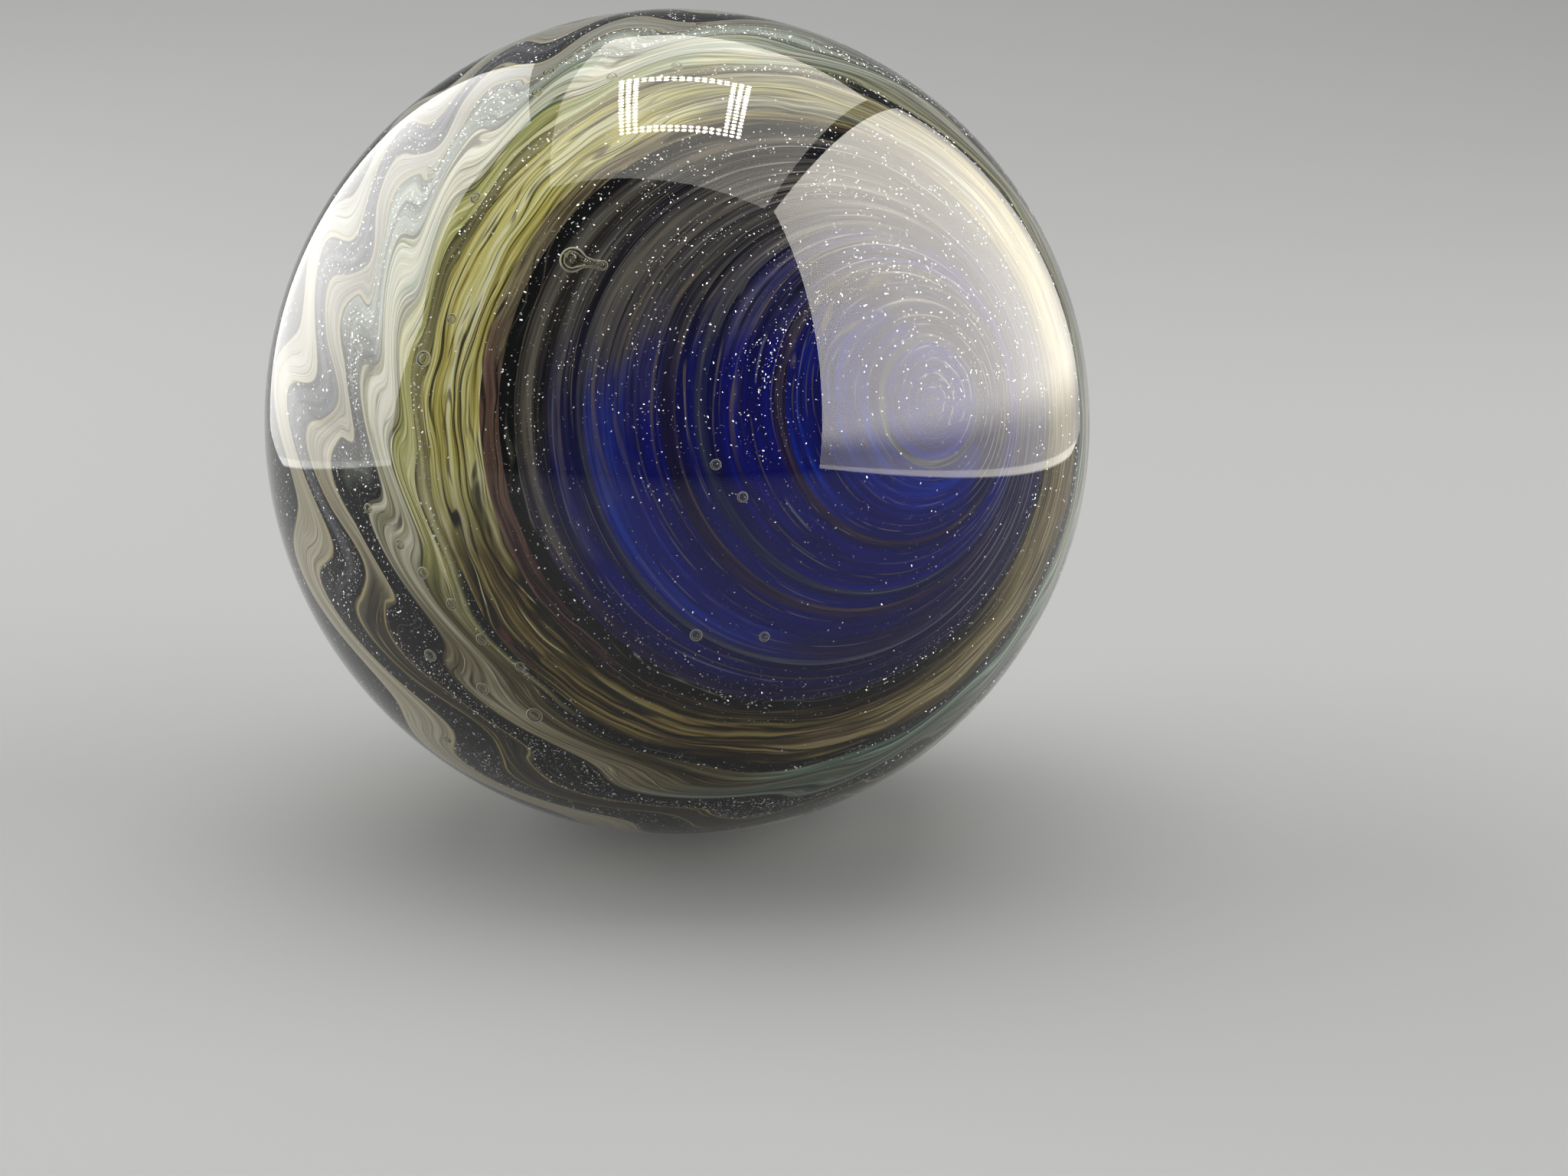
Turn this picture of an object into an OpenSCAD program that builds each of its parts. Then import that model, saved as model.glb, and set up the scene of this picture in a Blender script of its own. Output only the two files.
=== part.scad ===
// Glass marble: a clear casing over a dark glass ball with trails of coloured glass.
// The trails are rings round an eye, then bands that were raked into leaning hooks.
// A place on the coloured ball is given by a ring angle, which is 0 at the eye and 180
// at the back, and by a turn round the eye. Lengths are in millimetres, angles in degrees.

/* [Marble] */
// Diameter over the clear glass
marble_d = 46; // [36:0.5:60]
// Thickness of the clear casing over the colours
casing_t = 1.8; // [1.6:0.1:3]
// Depth of the coloured trails in the dark glass
trail_depth = 3; // [2:0.1:5]

/* [Eye] */
// Turn of the eye from the front towards the right
eye_turn = 33; // [0:1:60]
// Lift of the eye above the marble's middle
eye_lift = 12; // [-30:1:40]
// Ring angle of the eye's rim
eye_rim = 40; // [36:0.5:41]

/* [Raked bands] */
// Hooks raked round the marble
hook_count = 15; // [9:1:18]
// Reach of the tallest hooks along the ring angle
hook_reach = 5; // [0:0.5:8]
// How far the bands twist as they go back, which leans the hooks over
band_twist = 84; // [0:1:90]

/* [Bubbles] */
// Diameter of the large bubble over the dark rings
big_bubble_d = 1.3; // [0.6:0.1:1.3]
// Diameter of the largest seed bubble
seed_bubble_d = 0.9; // [0.4:0.05:1.2]

/* [Hidden] */

marble_r = marble_d / 2;
colour_r = marble_r - casing_t;      // outside of the coloured glass
floor_r = colour_r - trail_depth;    // floor of the trails
fit_gap = 0.01;                      // between the colours and the casing
rim_gap = 0.05;                      // ring angle between the eye and the flats of its seat
hook_points = 10;                    // points along one hook at the surface
floor_points = 2;                    // points under one hook at the trails' floor
outer_n = hook_count * hook_points;
floor_n = hook_count * floor_points;
back_n = 2 * floor_n;                // points round the plain rings at the back
floor_step = 10;                     // ring angle between the rings of the eye's seat
ball_fn = 128;                       // sides of the casing's balls
eye_fn = 96;                         // sides of the eye's balls and cones
bubble_fn = 24;                      // sides of a bubble

// The eye's rings: outer edge as a share of the rim's angle, and the glass
eye_rings = [
    [0.19, "navy"], [0.215, "silver"], [0.44, "cobalt"], [0.465, "violet"], [0.60, "navy"],
    [0.625, "silver"], [0.66, "cobalt"], [0.69, "violet"], [0.76, "navy"], [0.84, "cobalt"],
    [0.86, "silver"], [0.96, "navy"], [1, "violet"]
];
// The raked bands: first and last ring angle, and the glass
raked_bands = [
    [41.5, 44, "amber"], [44, 52.5, "gold"], [54.5, 57.5, "green"], [57.5, 63, "khaki"],
    [68, 73, "cream"], [79, 87, "cream"], [96, 106, "sage"], [118, 134, "cream"]
];
back_rings = [147, 157, 168];        // plain rings where the dark glass closes over the back
// Where the rings' centres lie, from right (-) to left (+) of the eye's axis
tilt_by_ring = [[0, -5], [10, -5], [20, 0], [33, 8], [42, 12], [90, 12], [130, 6], [180, 0]];
hook_share = 0.9;                    // the rest of the wave is a slow swell round the marble
hook_phase = -45;                    // where the row of hooks starts
hook_drift = [110, 20];              // how far the hooks' spacing drifts, and where it starts
hook_calm = [0.45, 200];             // how much calmer the hooks are opposite this turn
swell_count = 5;                     // slow swells round the marble
// Share of the hooks' reach, and of the twist
rake_by_ring = [[42, 0], [52, 0.05], [60, 0.3], [66, 0.5], [70, 0.75], [74, 1], [90, 1], [150, 0.5], [172, 0]];
twist_by_ring = [[52, 0], [68, 0.36], [73, 0.39], [84, 0.5], [180, 1]];
// Bubbles in the casing: ring angle, turn, and size as a share of the largest seed
seed_bubbles = [
    [52, 164, 0.9], [49, 157, 0.6], [59, 192, 0.6], [57, 197, 0.7], [55, 203, 0.7], [64, 209, 0.8],
    [60, 217, 0.8], [52, 217, 0.6], [57, 225, 1], [54, 210, 0.7], [63, 186, 0.6], [77, 222, 0.6],
    [64, 113, 0.8], [61, 117, 0.7], [56, 107, 0.7], [64, 136, 0.6], [54, 137, 0.7], [54, 97, 0.7],
    [66, 88, 0.7], [24, 191, 0.6], [23, 203, 0.6], [34, 232, 0.7], [31, 244, 0.6], [98, 20, 0.8],
    [104, 300, 0.7]
];
big_bubble_at = [38, 141];           // ring angle and turn
tail_sizes = [0.5, 0.34, 0.4];       // the large bubble's tail, as shares of its diameter
tail_step = [0.95, 0.2];             // ring angle and turn from one tail bubble to the next

function rake_wave(turn) =
    let (
        drift = hook_drift[0] * sin(2 * turn + hook_drift[1]),
        hooks = hook_share * cos(hook_count * turn + hook_phase + drift),
        swells = (1 - hook_share) * cos(swell_count * turn)
    )
    (hooks + swells) * (1 - hook_calm[0] * (1 - cos(turn - hook_calm[1])) / 2);
function raked(ring, turn) = ring + hook_reach * lookup(ring, rake_by_ring) * rake_wave(turn);
// A ring angle and turn on a ball of radius r, with the ring's own centre
function on_ball(r, ring, turn) =
    let (
        side = r * sin(ring) * cos(turn),
        ahead = r * cos(ring),
        tilt = lookup(ring, tilt_by_ring)
    )
    [side * cos(tilt) - ahead * sin(tilt), r * sin(ring) * sin(turn), side * sin(tilt) + ahead * cos(tilt)];
function twisted(r, ring, turn) = on_ball(r, ring, turn - band_twist * lookup(ring, twist_by_ring));
// A band's border has its hooks at the surface and runs plain at the floor
function outer_loop(ring) =
    [for (i = [0:outer_n - 1]) let (turn = i * 360 / outer_n) twisted(colour_r, raked(ring, turn), turn)];
function plain_loop(r, ring, n) = [for (i = [0:n - 1]) twisted(r, ring, i * 360 / n)];
function floor_loop(ring) = plain_loop(floor_r, ring, floor_n);

// Triangles between two loops whose first points are a and b. The finer loop's points
// meet the nearest ones of the other, so two glasses share each wall between them.
function nearest(k, fine_n, coarse_n) = floor(k * coarse_n / fine_n + 0.5) % coarse_n;
function lace_down(a, a_n, b, b_n) =
    [for (k = [0:a_n - 1])
        let (a2 = a + (k + 1) % a_n, b1 = b + nearest(k, a_n, b_n), b2 = b + nearest(k + 1, a_n, b_n))
        each (b1 == b2 ? [[a + k, a2, b1]] : [[a + k, a2, b1], [a2, b2, b1]])];
function lace_up(a, a_n, b, b_n) = [for (face = lace_down(b, b_n, a, a_n)) [face[1], face[0], face[2]]];
function lace(a, a_n, b, b_n, back) =
    (a_n > b_n || (a_n == b_n && !back)) ? lace_down(a, a_n, b, b_n) : lace_up(a, a_n, b, b_n);
function start_of(loops, i) = i == 0 ? 0 : start_of(loops, i - 1) + len(loops[i - 1]);
function joined(loops) = [for (loop = loops) each loop];

// A ring of glass between two borders
module band(first_ring, last_ring) {
    loops = [outer_loop(first_ring), outer_loop(last_ring), floor_loop(last_ring), floor_loop(first_ring)];
    faces = [for (i = [0:3])
        let (j = (i + 1) % 4)
        each lace(start_of(loops, i), len(loops[i]), start_of(loops, j), len(loops[j]), i == 2)];
    polyhedron(joined(loops), faces);
}

// Every raked band of one glass
module bands_of(glass) {
    for (b = raked_bands) if (b[2] == glass) band(b[0], b[1]);
}

// A cone from the marble's middle through one ring of the eye
module ring_cone(ring) {
    rotate([0, -lookup(ring, tilt_by_ring), 0])
        cylinder(h = marble_r, r1 = 0, r2 = marble_r * tan(ring), $fn = eye_fn);
}

// A round ring of the eye, between two cones and two balls
module eye_ring(first_ring, last_ring) {
    difference() {
        intersection() {
            difference() {
                sphere(r = colour_r, $fn = eye_fn);
                sphere(r = floor_r, $fn = eye_fn);
            }
            ring_cone(last_ring);
        }
        if (first_ring > 0) ring_cone(first_ring);
    }
}

// Every ring of the eye in one glass
module rings_of(glass) {
    for (i = [0:len(eye_rings) - 1])
        if (eye_rings[i][1] == glass)
            eye_ring(i == 0 ? 0 : eye_rim * eye_rings[i - 1][0], eye_rim * eye_rings[i][0]);
}

// Local Z runs out through the eye, local X to the right and local Y upwards
module at_eye() {
    rotate([0, 0, eye_turn]) rotate([90 - eye_lift, 0, 0]) children();
}

// The dark ball, with a seat for the eye and a groove for each group of bands
function touching(i) = i > 0 && raked_bands[i][0] == raked_bands[i - 1][1];
function closing(i) = i == len(raked_bands) - 1 || raked_bands[i + 1][0] != raked_bands[i][1];
module dark_ground() {
    rim = atan(tan(eye_rim + rim_gap) / cos(180 / floor_n));  // the seat's flats clear the round eye
    seat = [for (ring = [floor_step:floor_step:rim - floor_step / 2]) floor_loop(ring)];
    grooves = [for (i = [0:len(raked_bands) - 1])
        let (b = raked_bands[i])
        each concat(
            touching(i) ? [] : [outer_loop(b[0]), floor_loop(b[0])],
            [floor_loop(b[1])],
            closing(i) ? [outer_loop(b[1])] : []
        )];
    loops = concat(
        [[on_ball(floor_r, 0, 0)]], seat, [floor_loop(rim), outer_loop(rim)],
        grooves, [for (ring = back_rings) plain_loop(colour_r, ring, back_n)], [[on_ball(colour_r, 180, 0)]]
    );
    starts = [for (i = [0:len(loops) - 1]) start_of(loops, i)];
    faces = [for (i = [0:len(loops) - 2])
        each lace(starts[i], len(loops[i]), starts[i + 1], len(loops[i + 1]), false)];
    color([0.05, 0.05, 0.06]) at_eye() polyhedron(joined(loops), faces);
}

module bubble(ring, turn, d) {
    translate(on_ball(colour_r + casing_t / 2, ring, turn)) sphere(d = d, $fn = bubble_fn);
}

module bubbles() {
    for (b = seed_bubbles) bubble(b[0], b[1], seed_bubble_d * b[2]);
    bubble(big_bubble_at[0], big_bubble_at[1], big_bubble_d);
    for (i = [0:len(tail_sizes) - 1])
        let (at = big_bubble_at - (i + 1) * tail_step)
            bubble(at[0], at[1], big_bubble_d * tail_sizes[i]);
}

module clear_casing() {
    color([0.85, 0.93, 0.92, 0.3]) difference() {
        sphere(r = marble_r, $fn = ball_fn);
        sphere(r = colour_r + fit_gap, $fn = ball_fn);
        at_eye() bubbles();
    }
}

module navy_rings() { color([0.03, 0.03, 0.25]) at_eye() rings_of("navy"); }
module cobalt_rings() { color([0.08, 0.2, 0.62]) at_eye() rings_of("cobalt"); }
module violet_rings() { color([0.26, 0.17, 0.34]) at_eye() rings_of("violet"); }
module silver_rings() { color([0.5, 0.52, 0.56]) at_eye() rings_of("silver"); }
module amber_band() { color([0.42, 0.28, 0.12]) at_eye() bands_of("amber"); }
module gold_band() { color([0.7, 0.64, 0.32]) at_eye() bands_of("gold"); }
module green_band() { color([0.42, 0.54, 0.3]) at_eye() bands_of("green"); }
module khaki_band() { color([0.62, 0.57, 0.43]) at_eye() bands_of("khaki"); }
module cream_bands() { color([0.92, 0.89, 0.79]) at_eye() bands_of("cream"); }
module sage_band() { color([0.62, 0.72, 0.58]) at_eye() bands_of("sage"); }

clear_casing();
dark_ground();
navy_rings();
cobalt_rings();
violet_rings();
silver_rings();
amber_band();
gold_band();
green_band();
khaki_band();
cream_bands();
sage_band();
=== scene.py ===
import math

import bpy
from mathutils import Euler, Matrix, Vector


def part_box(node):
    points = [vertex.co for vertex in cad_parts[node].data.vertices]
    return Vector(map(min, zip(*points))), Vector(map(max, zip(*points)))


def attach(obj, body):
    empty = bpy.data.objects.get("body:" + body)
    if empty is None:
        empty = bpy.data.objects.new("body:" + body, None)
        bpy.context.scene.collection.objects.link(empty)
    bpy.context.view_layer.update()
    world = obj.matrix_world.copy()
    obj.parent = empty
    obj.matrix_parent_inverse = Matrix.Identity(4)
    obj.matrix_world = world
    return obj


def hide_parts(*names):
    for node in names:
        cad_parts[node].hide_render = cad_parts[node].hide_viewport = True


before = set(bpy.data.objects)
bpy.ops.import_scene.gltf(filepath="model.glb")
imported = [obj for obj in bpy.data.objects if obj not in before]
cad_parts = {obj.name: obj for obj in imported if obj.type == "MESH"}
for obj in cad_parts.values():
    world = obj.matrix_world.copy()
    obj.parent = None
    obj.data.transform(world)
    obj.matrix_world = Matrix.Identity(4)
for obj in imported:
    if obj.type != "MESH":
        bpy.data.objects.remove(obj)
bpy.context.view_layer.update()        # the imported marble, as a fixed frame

casingLow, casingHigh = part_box("clear_casing")

marble = {
    "radius": (casingHigh.z - casingLow.z) / 2,  # over the clear glass
    "casing": 0.0018,  # clear glass over the colours
    "trails": 0.003,  # depth of the coloured trails
    "eyeTurn": 33,  # degrees, from the front towards the right
    "eyeLift": 12,
    "eyeRim": 40,  # ring angle of the eye's rim
}
colourRadius = marble["radius"] - marble["casing"]
trailFloor = colourRadius - marble["trails"]
print("marble: radius", round(marble["radius"], 4), "colours", round(colourRadius, 4))

# how the trails lie: a place has a ring angle, 0 at the eye and 180 at the back, and a turn round the eye
rake = {
    "hooks": 15,  # hooks raked round the marble
    "reach": 5,  # degrees that the tallest hooks reach
    "twist": 84,  # degrees that the bands twist towards the back
    "hookShare": 0.9,  # the rest is a slow swell
    "phase": -45,  # where the row of hooks starts
    "drift": 110,  # how far the hooks' spacing drifts
    "driftStart": 20,
    "calm": 0.45,  # how much calmer the hooks are opposite strongTurn
    "strongTurn": 200,
    "swells": 5,  # slow swells round the marble
    # by ring angle: where the rings' centres lie from right to left, and the share of the reach and the twist
    "tilt": [(0, -5), (10, -5), (20, 0), (33, 8), (42, 12), (90, 12), (130, 6), (180, 0)],
    "reachByRing": [
        (42, 0), (52, 0.05), (60, 0.3), (66, 0.5), (70, 0.75), (74, 1), (90, 1), (150, 0.5), (172, 0),
    ],
    "twistByRing": [(52, 0), (68, 0.36), (73, 0.39), (84, 0.5), (180, 1)],
    "stepsAround": 680,  # points of the mesh round each band
    "stepsPerDegree": 2,  # and across it, to a degree of ring angle
}
ringSpan = 180  # ring angle from the eye to the back
eyeRings = [  # outer edge, as a share of the rim's angle, and the glass
    (0.19, "navy"), (0.215, "silver"), (0.44, "cobalt"), (0.465, "violet"), (0.60, "navy"),
    (0.625, "silver"), (0.66, "cobalt"), (0.69, "violet"), (0.76, "navy"), (0.84, "cobalt"),
    (0.86, "silver"), (0.96, "navy"), (1, "violet"),
]
rakedBands = [  # first and last ring angle, and the glass
    (41.5, 44, "amber"), (44, 52.5, "gold"), (54.5, 57.5, "green"), (57.5, 63, "khaki"),
    (68, 73, "cream"), (79, 87, "cream"), (96, 106, "sage"), (118, 134, "cream"),
]


# small helpers for node trees

def feed(socket, value):  # with another socket or a plain value
    if isinstance(value, bpy.types.NodeSocket):
        socket.id_data.links.new(value, socket)
    else:
        socket.default_value = value


def addNode(tree, kind, settings=None, **inputs):
    node = tree.nodes.new(kind)
    for name, value in (settings or {}).items():
        setattr(node, name, value)
    for name, value in inputs.items():
        feed(node.inputs[name.replace("_", " ")], value)
    return node


def treeOf(*values):  # the tree that the sockets among these values belong to
    return next(value.id_data for value in values if isinstance(value, bpy.types.NodeSocket))


def calc(operation, *values, kind="ShaderNodeMath", output=0):
    node = addNode(treeOf(*values), kind, {"operation": operation})
    for socket, value in zip(node.inputs, values):
        feed(socket, value)
    return node.outputs[output]


def product(value, *others):  # multiplied from left to right
    for other in others:
        value = calc("MULTIPLY", value, other)
    return value


def total(first, second):
    return calc("ADD", first, second)


def minus(first, second):
    return calc("SUBTRACT", first, second)


def byRing(ring, points):  # looks a value up by ring angle, straight between points
    low, high = min(y for x, y in points), max(y for x, y in points)
    node = addNode(treeOf(ring), "ShaderNodeFloatCurve")
    curve = node.mapping.curves[0]
    before = [(0, points[0][1])] * (points[0][0] > 0)
    after = [(ringSpan, points[-1][1])] * (points[-1][0] < ringSpan)
    spots = before + points + after
    for i, (x, y) in enumerate([spots[0], spots[-1]] + spots[1:-1]):
        spot = (x / ringSpan, (y - low) / (high - low))
        if i < 2:
            curve.points[i].location = spot
        else:
            curve.points.new(*spot)
    for point in curve.points:
        point.handle_type = "VECTOR"
    node.mapping.update()
    feed(node.inputs["Value"], calc("DIVIDE", ring, ringSpan))
    return calc("MULTIPLY_ADD", node.outputs[0], high - low, low)


def newTree(name, inputs):
    tree = bpy.data.node_groups.new(name, "GeometryNodeTree")
    for label, kind, value in inputs:
        socket = tree.interface.new_socket(name=label, in_out="INPUT", socket_type="NodeSocket" + kind)
        if value is not None:
            socket.default_value = value
    tree.interface.new_socket(name="Geometry", in_out="OUTPUT", socket_type="NodeSocketGeometry")
    return tree, addNode(tree, "NodeGroupInput").outputs, addNode(tree, "NodeGroupOutput").inputs


def addObject(name, data):
    thing = bpy.data.objects.new(name, data)
    bpy.context.scene.collection.objects.link(thing)
    return thing


def growPiece(name, tree, values):  # runs a tree once and keeps a plain mesh
    seedling = addObject(name + "Seedling", bpy.data.meshes.new(name + "Seedling"))
    modifier = seedling.modifiers.new("grow", "NODES")
    modifier.node_group = tree
    for item in tree.interface.items_tree:
        if item.item_type == "SOCKET" and item.in_out == "INPUT" and item.name in values:
            modifier[item.identifier] = values[item.name]
    depsgraph = bpy.context.evaluated_depsgraph_get()
    mesh = bpy.data.meshes.new_from_object(
        seedling.evaluated_get(depsgraph), preserve_all_data_layers=True, depsgraph=depsgraph)
    bpy.data.objects.remove(seedling)
    mesh.name = name
    piece = addObject(name, mesh)
    print(name, len(mesh.polygons), "faces")
    return piece


# the raked bands: one group makes one closed band of glass

bandInputs = [
    ("Ball Radius", "Float", colourRadius), ("Floor Radius", "Float", trailFloor),
    ("Hooks", "Int", rake["hooks"]), ("Hook Reach", "Float", float(rake["reach"])),
    ("Band Twist", "Float", float(rake["twist"])), ("Steps Around", "Int", rake["stepsAround"]),
]


def makeBandGroup():
    tree, given, out = newTree("rakedBand", [
        ("First Ring", "Float", 0.0), ("Last Ring", "Float", 10.0), ("Steps Across", "Int", 12), *bandInputs,
    ])
    steps = given["Steps Across"]
    grid = addNode(
        tree, "GeometryNodeMeshGrid", Size_X=1.0, Size_Y=1.0,
        Vertices_X=total(steps, 4), Vertices_Y=total(given["Steps Around"], 1))
    at = addNode(tree, "ShaderNodeSeparateXYZ", Vector=addNode(tree, "GeometryNodeInputPosition").outputs[0])
    # across the grid: the surface from first to last ring, down to the floor, back, and up again
    column = calc("ROUND", product(total(at.outputs["X"], 0.5), total(steps, 3)))
    share = calc("MAXIMUM", 0.0, calc(
        "MINIMUM", calc("DIVIDE", column, steps), calc("MINIMUM", 1.0, minus(total(steps, 2), column))))
    atFloor = calc("COMPARE", column, total(steps, 1.5), 1.0)
    ring = calc("MULTIPLY_ADD", share, minus(given["Last Ring"], given["First Ring"]), given["First Ring"])
    turn = product(total(at.outputs["Y"], 0.5), 360)
    turnRadians = calc("RADIANS", turn)
    # the rake draws hooks along the ring angle, and the twist leans them over
    drift = calc("SINE", calc("RADIANS", calc("MULTIPLY_ADD", turn, 2, rake["driftStart"])))
    drift = product(rake["drift"], drift)
    hooks = total(calc("MULTIPLY_ADD", turn, given["Hooks"], rake["phase"]), drift)
    hooks = calc("COSINE", calc("RADIANS", hooks))
    swell = calc("COSINE", product(turnRadians, rake["swells"]))
    wave = calc("MULTIPLY_ADD", hooks, rake["hookShare"], product(swell, 1 - rake["hookShare"]))
    fromStrong = calc("COSINE", minus(turnRadians, math.radians(rake["strongTurn"])))
    wave = product(wave, calc("MULTIPLY_ADD", rake["calm"] / 2, fromStrong, 1 - rake["calm"] / 2))
    reach = product(given["Hook Reach"], byRing(ring, rake["reachByRing"]), minus(1.0, atFloor))
    raked = calc("MULTIPLY_ADD", reach, wave, ring)
    place = calc("RADIANS", minus(turn, product(given["Band Twist"], byRing(raked, rake["twistByRing"]))))
    tilt = calc("RADIANS", byRing(raked, rake["tilt"]))
    deeper = minus(given["Floor Radius"], given["Ball Radius"])
    radius = calc("MULTIPLY_ADD", atFloor, deeper, given["Ball Radius"])
    rakedRadians = calc("RADIANS", raked)
    wide = product(radius, calc("SINE", rakedRadians))
    across = product(wide, calc("COSINE", place))
    ahead = product(radius, calc("COSINE", rakedRadians))
    tiltCosine, tiltSine = calc("COSINE", tilt), calc("SINE", tilt)
    local = addNode(
        tree, "ShaderNodeCombineXYZ", X=minus(product(across, tiltCosine), product(ahead, tiltSine)),
        Y=product(wide, calc("SINE", place)), Z=total(product(across, tiltSine), product(ahead, tiltCosine)))
    turned = addNode(
        tree, "ShaderNodeVectorRotate", {"rotation_type": "EULER_XYZ"}, Vector=local.outputs[0],
        Rotation=(math.radians(90 - marble["eyeLift"]), 0, math.radians(marble["eyeTurn"])))
    # the materials read the ring angle, how far in from the border it is, and the turn, as a circle so that
    # it has no seam
    inset = calc("MINIMUM", minus(ring, given["First Ring"]), minus(given["Last Ring"], ring))
    circle = addNode(tree, "ShaderNodeCombineXYZ", X=calc("COSINE", turnRadians), Y=calc("SINE", turnRadians))
    stored, circle = grid.outputs["Mesh"], circle.outputs[0]
    labels = [("ring", "FLOAT", ring), ("inset", "FLOAT", inset), ("around", "FLOAT_VECTOR", circle)]
    for label, kind, value in labels:
        stored = addNode(
            tree, "GeometryNodeStoreNamedAttribute", {"data_type": kind, "domain": "POINT"},
            Geometry=stored, Name=label, Value=value).outputs[0]
    placed = addNode(tree, "GeometryNodeSetPosition", Geometry=stored, Position=turned.outputs[0])
    closed = addNode(tree, "GeometryNodeMergeByDistance", Geometry=placed.outputs[0], Distance=5e-7)
    corner = addNode(tree, "GeometryNodeInputMeshEdgeAngle")
    sharp = calc("GREATER_THAN", corner.outputs["Unsigned Angle"], math.radians(40))
    smooth = addNode(
        tree, "GeometryNodeSetShadeSmooth", {"domain": "EDGE"},
        Geometry=closed.outputs[0], Selection=sharp, Shade_Smooth=False)
    feed(out["Geometry"], smooth.outputs[0])
    return tree


bandGroup = makeBandGroup()


def growBands(name, bands, glass):  # every band of one glass, as one piece
    tree, given, out = newTree(name + "Bands", [*bandInputs, ("Glass", "Material", None)])
    joined = addNode(tree, "GeometryNodeJoinGeometry")
    for firstRing, lastRing in reversed(bands):
        band = addNode(tree, "GeometryNodeGroup", {"node_tree": bandGroup})
        for label, kind, value in bandInputs:
            feed(band.inputs[label], given[label])
        band.inputs["First Ring"].default_value = firstRing
        band.inputs["Last Ring"].default_value = lastRing
        steps = math.ceil((lastRing - firstRing) * rake["stepsPerDegree"])
        band.inputs["Steps Across"].default_value = max(2, steps)
        feed(joined.inputs[0], band.outputs[0])
    real = addNode(tree, "GeometryNodeRealizeInstances", Geometry=joined.outputs[0])
    painted = addNode(tree, "GeometryNodeSetMaterial", Geometry=real.outputs[0], Material=given["Glass"])
    feed(out["Geometry"], painted.outputs[0])
    return growPiece(name, tree, {"Glass": glass})


# coloured glass

def paint(hexColour):  # a colour as it shows on a screen, to Blender's linear one
    parts = [int(hexColour[i:i + 2], 16) / 255 for i in (0, 2, 4)]
    return [c / 12.92 if c <= 0.04045 else ((c + 0.055) / 1.055) ** 2.4 for c in parts] + [1]


def blank(name):
    material = bpy.data.materials.new(name)
    material.use_nodes = True
    tree = material.node_tree
    tree.nodes.clear()
    return material, tree, addNode(tree, "ShaderNodeOutputMaterial")


def ramp(value, stops):  # stops: place along the ramp, and its colour or level
    node = addNode(treeOf(value), "ShaderNodeValToRGB")
    elements = node.color_ramp.elements
    while len(elements) < len(stops):
        elements.new(0.5)
    for element, (spot, colour) in zip(elements, stops.items()):
        element.position = spot
        element.color = paint(colour) if isinstance(colour, str) else (colour, colour, colour, 1)
    feed(node.inputs[0], value)
    return node.outputs[0]


def mixColour(share, first, second):
    node = addNode(treeOf(share), "ShaderNodeMix", {"data_type": "RGBA"})
    for socket, value in zip((node.inputs[0], node.inputs[6], node.inputs[7]), (share, first, second)):
        feed(socket, value)
    return node.outputs[2]


def noise(vector, detail=2.0, roughness=0.5, scale=1.0):
    node = addNode(
        treeOf(vector), "ShaderNodeTexNoise", {"noise_dimensions": "3D"},
        Vector=vector, Scale=scale, Detail=detail, Roughness=roughness)
    return node.outputs[0]


def ease(value, low, high):  # 0 below low, 1 above high
    node = addNode(treeOf(value), "ShaderNodeMapRange", {"interpolation_type": "SMOOTHSTEP"}, Value=value)
    node.inputs["From Min"].default_value, node.inputs["From Max"].default_value = low, high
    return node.outputs[0]


def scaled(vector, share):
    node = addNode(treeOf(vector), "ShaderNodeVectorMath", {"operation": "SCALE"}, Vector=vector, Scale=share)
    return node.outputs[0]


def along(circle, ring, roundSize, ringSize):  # runs far along a band and fast across it
    across = addNode(treeOf(ring), "ShaderNodeCombineXYZ", Z=product(ring, ringSize))
    return calc("ADD", scaled(circle, roundSize), across.outputs[0], kind="ShaderNodeVectorMath")


def toward(circle, turn):  # 1 at this turn, -1 opposite it
    turn = math.radians(turn)
    facing = (math.cos(turn), math.sin(turn), 0)
    return calc("DOT_PRODUCT", circle, facing, kind="ShaderNodeVectorMath", output="Value")


def atLeast(value, least):  # 0 to 1 as least to 1
    return calc("MULTIPLY_ADD", value, 1 - least, least)


def sway(value, amount):  # a noise of 0 to 1 as -amount to amount
    return product(minus(value, 0.5), 2 * amount)


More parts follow.
